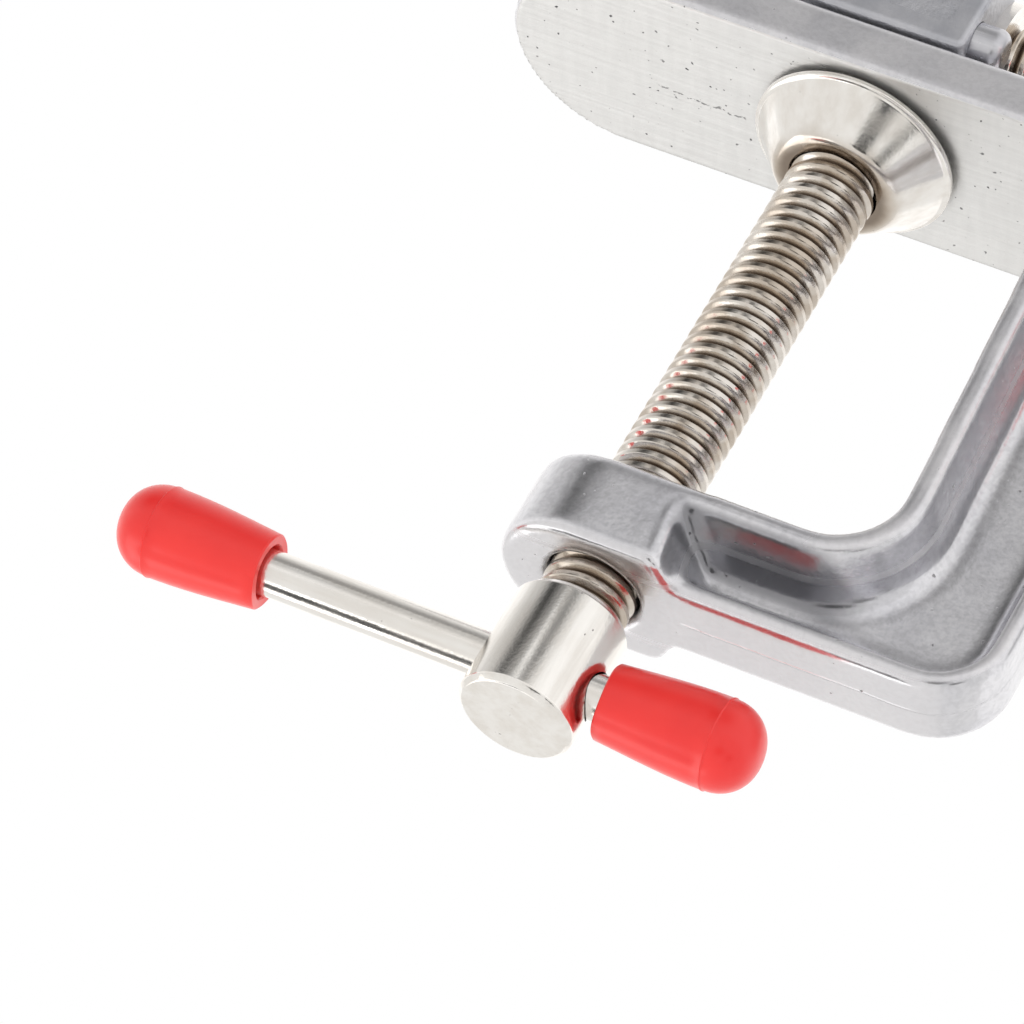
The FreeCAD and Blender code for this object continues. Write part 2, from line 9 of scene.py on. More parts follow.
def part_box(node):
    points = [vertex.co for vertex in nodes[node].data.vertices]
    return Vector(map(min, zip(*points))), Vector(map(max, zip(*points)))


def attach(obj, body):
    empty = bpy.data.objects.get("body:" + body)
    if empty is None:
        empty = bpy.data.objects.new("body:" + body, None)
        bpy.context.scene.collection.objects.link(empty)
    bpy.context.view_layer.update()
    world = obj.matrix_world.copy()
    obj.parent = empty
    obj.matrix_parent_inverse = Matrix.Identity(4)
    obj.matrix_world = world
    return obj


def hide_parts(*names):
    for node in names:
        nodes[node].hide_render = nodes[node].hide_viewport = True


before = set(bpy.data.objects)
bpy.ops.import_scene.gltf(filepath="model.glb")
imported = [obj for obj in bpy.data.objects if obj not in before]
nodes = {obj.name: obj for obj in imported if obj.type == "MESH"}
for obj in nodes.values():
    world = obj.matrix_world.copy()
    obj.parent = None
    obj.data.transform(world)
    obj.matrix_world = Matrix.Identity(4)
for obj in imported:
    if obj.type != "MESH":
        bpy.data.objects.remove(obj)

mm = 0.001
scene = bpy.context.scene
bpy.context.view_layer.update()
print("frame loaded:", len(nodes), "nodes")


# small tools for meshes
weldGap = 1e-7  # points closer than this are one point


def finishMesh(name, points, faces):
    # points (n, 3) in metres and faces as index lists; turned outwards by the sign of the enclosed volume
    mesh = bpy.data.meshes.new(name)
    mesh.from_pydata(points.tolist(), [], [list(f) for f in faces])
    work = bmesh.new()
    work.from_mesh(mesh)
    bmesh.ops.remove_doubles(work, verts=work.verts, dist=weldGap)
    bmesh.ops.dissolve_degenerate(work, edges=work.edges, dist=weldGap)
    if work.calc_volume(signed=True) < 0:
        bmesh.ops.reverse_faces(work, faces=work.faces)
    for face in work.faces:
        face.smooth = True
    work.to_mesh(mesh)
    work.free()
    piece = bpy.data.objects.new(name, mesh)
    scene.collection.objects.link(piece)
    return piece


def gridFaces(rows, columns, wrapColumns=True):
    # quads between neighbouring rows and columns of a row-major grid
    across = columns if wrapColumns else columns - 1
    row = np.arange(rows - 1)[:, None] * columns
    here = np.arange(across)[None, :]
    after = (here + 1) % columns
    quads = np.stack([row + here, row + after, row + columns + after, row + columns + here], -1)
    return quads.reshape(-1, 4)


def axisFrame(direction):
    # two unit vectors square to the direction
    d = np.array(direction, float)
    side = np.cross(d, [0.0, 0.0, 1.0] if abs(d[2]) < 0.9 else [1.0, 0.0, 0.0])
    side /= np.linalg.norm(side)
    return side, np.cross(d, side)


def revolve(profile, start, direction, steps=96):
    # a (radius, distance) profile turned round an axis: start + distance*axis + radius*(cos*u + sin*v)
    profile = np.array(profile, float)
    u, v = axisFrame(direction)
    angle = np.linspace(0, 2 * math.pi, steps, endpoint=False)
    ring = np.cos(angle)[:, None] * u + np.sin(angle)[:, None] * v
    axis = np.array(start)[None, None, :] + profile[:, 1][:, None, None] * np.array(direction, float)
    points = axis + profile[:, 0][:, None, None] * ring[None]
    return points.reshape(-1, 3), gridFaces(len(profile), steps)


def softProfile(corners, radius, steps=5):
    # each inner corner of a (radius, distance) outline becomes a small arc of points, by a quadratic curve;
    # a third number in a corner is its own arc size
    mostOfSide = 0.45
    pts = [np.array(c[:2], float) for c in corners]
    out = [pts[0]]
    for i in range(1, len(pts) - 1):
        r = corners[i][2] if len(corners[i]) > 2 else radius
        a, b = pts[i - 1] - pts[i], pts[i + 1] - pts[i]
        la, lb = np.linalg.norm(a), np.linalg.norm(b)
        cut = min(r, mostOfSide * la, mostOfSide * lb)
        p, q = pts[i] + a / la * cut, pts[i] + b / lb * cut
        for t in np.linspace(0, 1, steps):
            out.append((1 - t) ** 2 * p + 2 * t * (1 - t) * pts[i] + t * t * q)
    out.append(pts[-1])
    return np.array(out)


# shader maths
# one output socket; arithmetic on it adds Math nodes
class Link:
    def __init__(self, kit, socket):
        self.kit = kit
        self.socket = socket

    def calc(self, operation, first, second=0.5, clamp=False):
        settings = {"operation": operation, "use_clamp": clamp}
        return self.kit.add("ShaderNodeMath", settings, {0: first, 1: second})

    def __add__(self, other):
        return self.calc("ADD", self, other)

    def __radd__(self, other):
        return self.calc("ADD", other, self)

    def __sub__(self, other):
        return self.calc("SUBTRACT", self, other)

    def __rsub__(self, other):
        return self.calc("SUBTRACT", other, self)

    def __mul__(self, other):
        return self.calc("MULTIPLY", self, other)

    def __rmul__(self, other):
        return self.calc("MULTIPLY", other, self)

    def __pow__(self, other):
        return self.calc("POWER", self, other)

    def __abs__(self):
        return self.calc("ABSOLUTE", self)

    def __lt__(self, other):
        return self.calc("LESS_THAN", self, other)

    def __gt__(self, other):
        return self.calc("GREATER_THAN", self, other)

    def clamped(self):
        return self.calc("ADD", self, 0.0, clamp=True)

    def band(self, low, high):
        # 0 below low, 1 above high, smooth between
        settings = {"interpolation_type": "SMOOTHSTEP"}
        sockets = {"Value": self, "From Min": low, "From Max": high}
        return self.kit.add("ShaderNodeMapRange", settings, sockets)

    def past(self, edge):
        # 1 beyond a soft edge given as (from, to) in millimetres
        return self.band(edge[0] * mm, edge[1] * mm)

    def before(self, edge):
        return 1 - self.past(edge)


# a material or a world being built from nodes
class Kit:
    def __init__(self, owner):
        owner.use_nodes = True
        self.tree = owner.node_tree
        self.tree.nodes.clear()

    def add(self, kind, settings=None, sockets=None, output=0):
        node = self.tree.nodes.new(kind)
        for key, value in (settings or {}).items():
            setattr(node, key, value)
        for key, value in (sockets or {}).items():
            if isinstance(value, Link):
                self.tree.links.new(value.socket, node.inputs[key])
            else:
                node.inputs[key].default_value = value
        self.last = node
        return Link(self, node.outputs[output]) if len(node.outputs) else None

    def mix(self, factor, first, second):
        # colours by factor: 0 gives the first; a plain (r, g, b) may stand for either
        first, second = [c if isinstance(c, Link) else (*c, 1.0) for c in (first, second)]
        sockets = {0: factor, 6: first, 7: second}
        return self.add("ShaderNodeMix", {"data_type": "RGBA"}, sockets, output=2)

    def vector(self, operation, first, second, output=0):
        return self.add("ShaderNodeVectorMath", {"operation": operation}, {0: first, 1: second}, output)

    def objectPlace(self):
        return self.add("ShaderNodeTexCoord", output=3)

    def parts(self, vector):
        first = self.add("ShaderNodeSeparateXYZ", {}, {0: vector})
        node = self.last
        return first, Link(self, node.outputs[1]), Link(self, node.outputs[2])

    def noise(self, place, scale, detail=2.0, roughness=0.5):
        sockets = {"Vector": place, "Scale": scale, "Detail": detail, "Roughness": roughness}
        return self.add("ShaderNodeTexNoise", {}, sockets)

    def grain(self, place, scales, detail, roughness):
        # noise with a scale of its own along each axis, for long grain
        stretched = self.add("ShaderNodeMapping", {}, {"Vector": place, "Scale": scales})
        return self.noise(stretched, 1.0, detail, roughness)

    def bump(self, height, strength, distance):
        return self.add("ShaderNodeBump", {}, {"Height": height, "Strength": strength, "Distance": distance})


def surface(kit, colour, metallic, roughness, normal=None, **constants):
    sockets = {"Base Color": colour, "Metallic": metallic, "Roughness": roughness}
    if normal:
        sockets["Normal"] = normal
    sockets.update({key.replace("_", " "): value for key, value in constants.items()})
    shader = kit.add("ShaderNodeBsdfPrincipled", {}, sockets)
    kit.add("ShaderNodeOutputMaterial", {}, {"Surface": shader})


# camera, floor and light
shotValues = {
    "azimuth": 20.67, "elevation": -31.39, "roll": 31.6, "aim": (-6.91, 0.0, -35.1), "distance": 378.4,
    "lens": 219.53, "sensor": 36, "nearest": 0.01, "farthest": 50,
}


def makeCamera(values):
    # the place is aim + distance * (direction by azimuth and elevation); it looks back at the aim, then rolls
    data = bpy.data.cameras.new("shotCamera")
    data.lens = values["lens"]
    data.sensor_width = values["sensor"]
    data.clip_start = values["nearest"]
    data.clip_end = values["farthest"]
    camera = bpy.data.objects.new("shotCamera", data)
    scene.collection.objects.link(camera)
    a = math.radians(values["azimuth"])
    e = math.radians(values["elevation"])
    back = Vector((math.sin(a) * math.cos(e), -math.cos(a) * math.cos(e), math.sin(e)))
    camera.location = Vector(values["aim"]) * mm + back * values["distance"] * mm
    facing = (-back).to_track_quat("-Z", "Y").to_matrix()
    turn = facing @ Matrix.Rotation(math.radians(values["roll"]), 3, "Z")
    camera.rotation_euler = turn.to_euler()
    scene.camera = camera


stageValues = {
    "floorDrop": 0.75, "floorSize": 30.0, "floorColour": (0.96, 0.96, 0.955), "shade": 0.97, "grain": 9.0,
    "roughness": 0.7,
}


def makeFloor(values):
    half = values["floorSize"] / 2
    z = -values["floorDrop"]
    corners = np.array([(-half, -half, z), (half, -half, z), (half, half, z), (-half, half, z)])
    mesh = bpy.data.meshes.new("floor")
    mesh.from_pydata(corners.tolist(), [], [(0, 1, 2, 3)])
    floor = bpy.data.objects.new("floor", mesh)
    scene.collection.objects.link(floor)
    material = bpy.data.materials.new("paleFloor")
    kit = Kit(material)
    cloud = kit.noise(kit.objectPlace(), values["grain"], 3.0)
    shaded = [c * values["shade"] for c in values["floorColour"]]
    surface(kit, kit.mix(cloud, shaded, values["floorColour"]), 0.0, values["roughness"])
    mesh.materials.append(material)


lightValues = {
    "surround": 1.2, "roomTint": (1, 0.99, 0.975),
    "darkPatches": [  # azimuth, elevation, tightness, depth
        (-136, 33, 30, 0.95), (-114, 40, 6, 0.66), (-172, 33, 20, 0.35),
        (-91, 31, 85, 0.72), (14, 31, 35, 0.62), (-30, 31, 50, 0.14),
    ],
    "lightPatch": (-106, 30, 220, 0.6),
    "keyPower": 1.2, "keySize": 0.6, "keyFrom": (-0.35, 0.15, -0.6), "keyAim": (0, 0, -0.02),
}


def direction(azimuth, elevation):
    a, e = math.radians(azimuth), math.radians(elevation)
    return (math.cos(a) * math.cos(e), math.sin(a) * math.cos(e), math.sin(e))


def makeSurround(values):
    # brightness of the room by direction: an even white less a few soft dark patches, and one brighter patch;
    # a patch is exp(tightness * (cosine of the angle from its middle - 1))
    world = bpy.data.worlds.new("studioRoom")
    scene.world = world
    kit = Kit(world)
    way = kit.add("ShaderNodeTexCoord", output=0)

    def patch(azimuth, elevation, tightness):
        along = kit.vector("DOT_PRODUCT", way, direction(azimuth, elevation), output=1)
        return kit.add("ShaderNodeMath", {"operation": "EXPONENT"}, {0: (along - 1) * tightness})

    room = values["surround"]
    for azimuth, elevation, tightness, depth in values["darkPatches"]:
        room = room * (1 - patch(azimuth, elevation, tightness) * depth)
    azimuth, elevation, tightness, gain = values["lightPatch"]
    room = room + patch(azimuth, elevation, tightness) * gain
    seen = kit.add("ShaderNodeLightPath", output=0)
    roomLight = kit.add("ShaderNodeBackground", {}, {"Color": (*values["roomTint"], 1), "Strength": room})
    paper = kit.add("ShaderNodeBackground", {}, {"Color": (1, 1, 1, 1), "Strength": 1.0})
    both = kit.add("ShaderNodeMixShader", {}, {0: seen, 1: roomLight, 2: paper})
    kit.add("ShaderNodeOutputWorld", {}, {"Surface": both})


cardValues = {
    "cards": [  # azimuth, elevation, distance, radius
        (160, -70, 0.60, 0.130), (-64, -45, 0.55, 0.110), (-26, -41, 0.55, 0.080),
    ],
    "aim": (0, 0, -0.03), "sides": 48, "dark": (0.015, 0.015, 0.015), "light": (0.03, 0.03, 0.03),
    "grain": 8.0, "roughness": 0.9,
}


def makeCards(values):
    # round dark cards that face the work, seen only in reflections: they give the bright metal its dark bands
    black = bpy.data.materials.new("matBlackCard")
    kit = Kit(black)
    shade = kit.mix(kit.noise(kit.objectPlace(), values["grain"]), values["dark"], values["light"])
    surface(kit, shade, 0.0, values["roughness"])
    angle = np.linspace(0, 2 * math.pi, values["sides"], endpoint=False)[:, None]
    for index, (azimuth, elevation, distance, radius) in enumerate(values["cards"]):
        way = np.array(direction(azimuth, elevation))
        u, v = axisFrame(way)
        points = np.array(values["aim"]) + way * distance + radius * (np.cos(angle) * u + np.sin(angle) * v)
        mesh = bpy.data.meshes.new("card%d" % index)
        mesh.from_pydata(points.tolist(), [], [list(range(values["sides"]))])
        mesh.materials.append(black)
        card = bpy.data.objects.new("card%d" % index, mesh)
        scene.collection.objects.link(card)
        card.visible_camera = False
        card.visible_shadow = False
        card.visible_diffuse = False


def makeKey(values):
    data = bpy.data.lights.new("keyPanel", "AREA")
    data.energy = values["keyPower"]
    data.size = values["keySize"]
    key = bpy.data.objects.new("keyPanel", data)
    scene.collection.objects.link(key)
    key.location = values["keyFrom"]
    aim = Vector(values["keyAim"]) - Vector(values["keyFrom"])
    key.rotation_euler = aim.to_track_quat("-Z", "Y").to_euler()


makeCamera(shotValues)
makeFloor(stageValues)
makeSurround(lightValues)
makeKey(lightValues)
makeCards(cardValues)
scene.view_settings.view_transform = "Standard"
print("camera, floor and light ready")


# places and sizes read from the frame, in metres
padLow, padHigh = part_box("clamp_pad")
screwLow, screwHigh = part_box("clamp_screw")
leadLow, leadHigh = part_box("lead_screw")
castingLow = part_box("body_casting")[0]
clampBarLow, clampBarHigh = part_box("clamp_handle_bar")
mainBarLow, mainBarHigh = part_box("main_handle_bar")
leadZ = (leadLow.z + leadHigh.z) / 2
headRadius = screwHigh.x
barRadius = (clampBarHigh.y - clampBarLow.y) / 2

threadValues = {
    "outerRadius": 2.95 * mm, "depth": 0.46 * mm, "pitch": 1.0 * mm, "rowsPerTurn": 20, "columns": 72,
    "crest": 0.17, "root": 0.475, "barrel": 0.10, "flankPower": 0.85, "runOut": 0.45 * mm,
    "endRadius": 2.39 * mm, "noseRadius": 2.1 * mm,
}


def ringsOf(profile, columns):
    # every (radius, distance) pair repeated round the axis
    profile = np.array(profile, float)
    return np.repeat(profile[:, :1], columns, 1), np.repeat(profile[:, 1:], columns, 1)


def screwShape(below, threadFrom, threadTo, above, values):
    # radius = core + depth * h(phase), where phase is the place within one turn and h a rounded trapezoid;
    # rows follow the helix: distance = start + pitch * (row / rowsPerTurn + angle / full turn);
    # the crests swell a little at the middle, as rolled threads do
    around = np.arange(values["columns"] + 1) / values["columns"]
    perTurn = values["rowsPerTurn"]
    turns = (threadTo - threadFrom) / values["pitch"]
    rows = np.arange(-perTurn, math.ceil(turns) * perTurn + 1)
    distance = threadFrom + values["pitch"] * (rows[:, None] / perTurn + around[None, :])
    distance = np.clip(distance, threadFrom, threadTo)
    away = np.abs((rows / perTurn) % 1 - 0.5)
    slope = np.clip((values["root"] - away) / (values["root"] - values["crest"]), 0, 1)
    height = (slope ** values["flankPower"] * (1 - values["barrel"] * (away / 0.5) ** 2))[:, None]
    fade = np.clip((distance - threadFrom) / values["runOut"], 0, 1)
    fade = fade * np.clip((threadTo - distance) / values["runOut"], 0, 1)
    core = values["outerRadius"] - values["depth"]
    radius = core + values["depth"] * height * fade
    lowRadius, lowDistance = ringsOf(below, values["columns"] + 1)
    highRadius, highDistance = ringsOf(above, values["columns"] + 1)
    radius = np.vstack([lowRadius, radius, highRadius])
    distance = np.vstack([lowDistance, distance, highDistance])
    return around * 2 * math.pi, radius, distance


def layAlong(angle, radius, distance, start, axis):
    # turns (angle, radius, distance) into places round the axis through start
    u, v = axisFrame(axis)
    ring = np.cos(angle)[:, None] * u + np.sin(angle)[:, None] * v
    points = np.array(start) + distance[..., None] * np.array(axis, float) + radius[..., None] * ring[None]
    return points.reshape(-1, 3), gridFaces(radius.shape[0], radius.shape[1], wrapColumns=False)


def settledMesh(piece):
    # the piece's mesh with its modifiers applied
    return bpy.data.meshes.new_from_object(piece.evaluated_get(bpy.context.evaluated_depsgraph_get()))


def cutHole(piece, centre, axis, radius, reach, steps=64):
    # drills a round hole through a piece
    tube, faces = revolve([(0, -reach), (radius, -reach), (radius, reach), (0, reach)], centre, axis, steps)
    cutter = finishMesh("drill", tube, faces)
    cut = piece.modifiers.new("hole", "BOOLEAN")
    cut.object = cutter
    cut.operation = "DIFFERENCE"
    cut.solver = "EXACT"
    settled = settledMesh(piece)
    piece.modifiers.clear()
    old = piece.data
    piece.data = settled
    settled.name = piece.name
    bpy.data.meshes.remove(old)
    bpy.data.objects.remove(cutter)


def crisp(piece, degrees=35):
    # smooth shading that breaks at edges sharper than the angle
    piece.data.shade_smooth()
    piece.data.set_sharp_from_angle(angle=math.radians(degrees))


headValues = {
    "chamfer": 0.35 * mm, "topRing": 0.5 * mm, "topStep": 0.28 * mm, "topRise": 0.12 * mm,
    "topSlope": 0.1 * mm, "neck": 2.45 * mm, "holeGap": 0.1 * mm,
    "soft": 0.1 * mm, "endSoft": 0.08 * mm, "sideSoft": 0.12 * mm,
    "topSoft": 0.15 * mm,
}


def headOutline(end, top, values):
    # (radius, distance) pairs from the axis at the end face, round the chamfers, to the collar at the top
    r = headRadius
    c = values["chamfer"]
    ring = top - values["topRing"]
    collar = r - values["topStep"]
    corners = [
        (0, end),
        (r - c, end, values["endSoft"]),
        (r, end + c, values["sideSoft"]),
        (r, ring),
        (collar, ring + values["topRise"]),
        (collar - values["topSlope"], top, values["topSoft"]),
        (values["neck"], top),
    ]
    return softProfile(corners, values["soft"], 6)


clampScrewValues = {
    "headTopBelowArm": 2.1 * mm, "spigotRadius": 1.5 * mm, "shoulder": 2.65 * mm, "shoulderTaper": 0.4 * mm,
    "rivetRadius": 2.5 * mm, "rivetFrom": 1.25 * mm, "rivetEdge": 0.95 * mm, "rivetCrown": 0.6,
}


def makeClampScrew(values):
    end = screwLow.z
    top = castingLow.z - values["headTopBelowArm"]
    shoulder = -values["shoulder"]
    threadTo = shoulder - values["shoulderTaper"]
    rivet = values["rivetRadius"]
    above = [
        (threadValues["endRadius"], threadTo),
        (threadValues["noseRadius"], shoulder),
        (values["spigotRadius"], shoulder),
        (values["spigotRadius"], -values["rivetFrom"]),
        (rivet, -values["rivetFrom"]),
        (rivet, -values["rivetEdge"]),
        (values["rivetCrown"] * rivet, screwHigh.z),
        (0, screwHigh.z),
    ]
    below = headOutline(end, top, headValues)
    angle, radius, distance = screwShape(below, top, threadTo, above, threadValues)
    points, faces = layAlong(angle, radius, distance, (0, 0, 0), (0, 0, 1))
    screw = finishMesh("clampScrew", points, faces)
    barZ = (clampBarLow.z + clampBarHigh.z) / 2
    cutHole(screw, (0, 0, barZ), (1, 0, 0), barRadius + headValues["holeGap"], 3 * headRadius)
    crisp(screw)
    return screw


leadScrewValues = {"journal": 2.1 * mm, "groove": 0.5 * mm, "endChamfer": 0.2 * mm}


def makeLeadScrew(values):
    # the same thread and head as the clamp screw, lying along X; the journal runs in the moving jaw
    head = castingLow.z - clampScrewValues["headTopBelowArm"] - screwLow.z
    start = leadLow.x
    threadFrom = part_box("lead_screw_thrust_washer")[1].x
    journal = values["journal"]
    groove = journal - values["groove"]
    top = leadHigh.x - head
    outline = headOutline(-leadHigh.x, -top, headValues)[::-1] * np.array([1, -1])
    ringLow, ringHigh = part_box("lead_screw_retaining_ring")
    below = [
        (0, start),
        (journal - values["endChamfer"], start),
        (journal, start + values["endChamfer"]),
        (journal, ringLow.x),
        (groove, ringLow.x),
        (groove, ringHigh.x),
        (journal, ringHigh.x),
        (journal, threadFrom),
        (threadValues["noseRadius"], threadFrom),
        (threadValues["endRadius"], threadFrom),
    ]
    angle, radius, distance = screwShape(below, threadFrom, top, outline, threadValues)
    points, faces = layAlong(angle, radius, distance, (0, 0, leadZ), (1, 0, 0))
    screw = finishMesh("leadScrew", points, faces)
    barX = (mainBarLow.x + mainBarHigh.x) / 2
    cutHole(screw, (barX, 0, leadZ), (0, 1, 0), barRadius + headValues["holeGap"], 3 * headRadius)
    crisp(screw)
    return screw


padValues = {
    "rim": 0.34 * mm, "rimFall": 0.12 * mm, "rimInset": 0.3 * mm, "crownRadius": 4.1 * mm,
    "shoulder": 0.95 * mm, "socketRadius": 3.0 * mm, "socketDepth": 0.75 * mm, "rivetWell": 2.7 * mm,
    "rivetWellDepth": 1.35 * mm, "boreRadius": 1.55 * mm, "lean": 2.1, "play": 0.3 * mm, "steps": 160,
    "edgeSoft": 0.1 * mm, "rimSoft": 0.12 * mm, "wellSoft": 0.05 * mm, "boreSoft": 0.03 * mm,
}


def makePad(values):
    # a revolved dished disc: flat face up, the flank a shallow curve from the rim to the crown
    radius = padHigh.x
    height = padHigh.z - padLow.z
    rim = values["rim"]
    socket = values["socketRadius"]
    floor = -height + values["socketDepth"]
    well = values["rivetWell"]
    wellFloor = -values["rivetWellDepth"]
    corners = [
        (well, 0),
        (radius, 0),
        (radius, -rim, values["rimSoft"]),
        (radius - values["rimInset"], -rim - values["rimFall"], values["rimInset"]),
        (values["crownRadius"], -height, values["shoulder"]),
        (socket, -height),
        (socket, floor, values["wellSoft"]),
        (values["boreRadius"], floor, values["boreSoft"]),
        (values["boreRadius"], wellFloor, values["boreSoft"]),
        (well, wellFloor, values["wellSoft"]),
        (well, 0),
    ]
    outline = softProfile(corners, values["edgeSoft"], 12)
    points, faces = revolve(outline, (0, 0, padHigh.z), (0, 0, 1), values["steps"])
    lean = math.radians(values["lean"])  # the pad hangs loose on the screw's end and leans a little
    y, z = points[:, 1].copy(), points[:, 2].copy()
    points[:, 1] = y * math.cos(lean) + z * math.sin(lean)
    points[:, 2] = z * math.cos(lean) - y * math.sin(lean) - radius * math.sin(lean) - values["play"]
    pad = finishMesh("clampPad", points, faces)
    crisp(pad, 30)
    return pad


capValues = {
    "length": 10.0 * mm, "mouthRadius": 2.45 * mm, "domeRadius": 2.9 * mm, "seamFromTip": 2.75 * mm,
    "seamStep": 0.045 * mm, "seamHalf": 0.03 * mm, "seamSide": 0.1 * mm, "tipStep": 0.02 * mm,
    "boreRadius": 1.70 * mm, "boreDepth": 0.8 * mm, "boreTaper": 0.25 * mm, "boreFoot": 0.08 * mm,
    "holdGap": 0.01 * mm, "endWall": 1.2 * mm, "lip": 0.12 * mm, "barrelPower": 1.15, "tipPower": 0.86,
    "wobble": 0.05 * mm, "wobbleReach": 0.8 * mm, "columns": 72,
}


def makeCap(name, bar, way, values):
    # a revolved cap pushed onto a bar's end: bore, lip, slowly widening barrel, thin seam, rounded tip
    low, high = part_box(bar)
    centre = np.array((low + high) / 2)
    axis = np.array(way, float)
    reach = float(np.abs((np.array(high) - np.array(low)) @ axis)) / 2
    tip = centre + axis * (reach + values["endWall"])
    length = values["length"]
    mouth = values["mouthRadius"]
    dome = values["domeRadius"]
    lip = values["lip"]
    bore = values["boreRadius"]
    hold = barRadius + values["holdGap"]
    stop = length - values["endWall"]
    seam = length - values["seamFromTip"]
    ridge = dome + values["seamStep"]
    crown = dome - values["tipStep"]
    crownFrom = seam + values["seamSide"]
    inside = [
        (0, stop),
        (hold, stop),
        (hold, values["boreDepth"] + values["boreTaper"]),
        (bore - values["boreFoot"], values["boreDepth"]),
        (bore, lip),
        (bore + lip, 0),
        (mouth - lip, 0),
        (mouth - values["tipStep"], lip * 0.8),
    ]
    # barrel radius = mouth + (dome - mouth) * sin(quarter turn)^power; tip radius = crown * cos^power
    share = np.linspace(0, 1, 12)[1:]
    barrelFrom = lip * 1.5
    swell = mouth + (dome - mouth) * np.sin(share * math.pi / 2) ** values["barrelPower"]
    barrel = np.stack([swell, barrelFrom + (seam - values["seamSide"] - barrelFrom) * share], 1)
    seamRidge = [(ridge, seam - values["seamHalf"]), (ridge, seam + values["seamHalf"]), (crown, crownFrom)]
    bend = np.linspace(0, math.pi / 2, 20)[1:-1]
    rounded = crown * np.cos(bend) ** values["tipPower"]
    rounded = np.stack([rounded, crownFrom + (length - crownFrom) * np.sin(bend)], 1)
    outline = np.vstack([inside, barrel, seamRidge, rounded, [(0, length)]])
    angle = np.linspace(0, 2 * math.pi, values["columns"] + 1)
    radius, distance = ringsOf(outline, values["columns"] + 1)
    near = np.clip(1 - distance / values["wobbleReach"], 0, 1)
    uneven = np.sin(angle * 2 + 0.7) + 0.6 * np.sin(angle * 3)
    distance = distance + near * values["wobble"] * uneven[None, :]
    points, faces = layAlong(angle, radius, distance, tip - axis * length, way)
    cap = finishMesh(name, points, faces)
    crisp(cap, 40)
    return cap


castingValues = {
    "voxel": 0.27 * mm, "weld": 2e-6, "rounds": 34, "jawRounds": 8, "normalsEvery": 3, "sideStep": 0.4,
    "hollowStep": 0.55, "jawHollowShare": 0.5, "boreStep": 0.02, "edgeStep": 0.10, "bossEdgeStep": 0.22,
    "machinedEdgeStep": 0.03, "jawEdgeStep": 0.03, "mouthStep": 0.14, "mouthWidth": 0.45 * mm,
    "mouthBehindRod": 0.5 * mm, "frameBelow": -0.12 * mm, "machinedBand": 0.3 * mm, "flatBand": 0.02 * mm,
    "bedTop": 3.7 * mm, "bossFrom": -7 * mm, "bossTo": 5.5 * mm, "bossBelow": -25 * mm,
    "boreReach": 3.4 * mm, "boreBelow": -20 * mm,
}


def frameMeshCopy(node, weld):
    # the frame's own mesh is loose triangles: a copy is merged before it is worked on
    mesh = nodes[node].data.copy()
    work = bmesh.new()
    work.from_mesh(mesh)
    bmesh.ops.remove_doubles(work, verts=work.verts, dist=weld)
    work.to_mesh(mesh)
    work.free()
    mesh.materials.clear()
    return mesh


def evenSkin(name, mesh, voxel):
    # the same solid with an even skin of small quads
    rough = bpy.data.objects.new(name, mesh)
    scene.collection.objects.link(rough)
    remesh = rough.modifiers.new("evenSkin", "REMESH")
    remesh.mode = "VOXEL"
    remesh.voxel_size = voxel
    remesh.adaptivity = 0
    settled = settledMesh(rough)
    bpy.data.objects.remove(rough)
    settled.name = name
    piece = bpy.data.objects.new(name, settled)
    scene.collection.objects.link(piece)
    return piece


def softeningSteps(x, y, z, values):
    # how far each point moves in a round where it is hollow and where it is an edge, and for how many rounds
    inFrame = z < values["frameBelow"]
    machined = np.abs(z) < values["machinedBand"]
    boss = (x > values["bossFrom"]) & (x < values["bossTo"]) & (z < values["bossBelow"])
    bore = (np.hypot(x, y) < values["boreReach"]) & (z < values["boreBelow"])
    rodLow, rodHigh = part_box("guide_rod_left")
    rod = (rodLow + rodHigh) / 2
    rodRadius = (rodHigh.z - rodLow.z) / 2
    fromRod = np.hypot(np.abs(y) - abs(rod.y), z - rod.z)
    mouth = (fromRod < rodRadius + values["mouthWidth"]) & (x < rodLow.x - values["mouthBehindRod"])
    edge = np.where(boss, values["bossEdgeStep"], values["edgeStep"])
    edge = np.where(machined, values["machinedEdgeStep"], edge)
    edge = np.where(z > values["bedTop"], values["jawEdgeStep"], edge)
    edge = np.where(mouth, values["mouthStep"], edge)
    hollow = np.where(inFrame, values["hollowStep"], values["hollowStep"] * values["jawHollowShare"])
    hollow = np.where(bore, values["boreStep"], hollow)
    rounds = np.where(inFrame | mouth, values["rounds"], values["jawRounds"])
    return hollow, edge, rounds


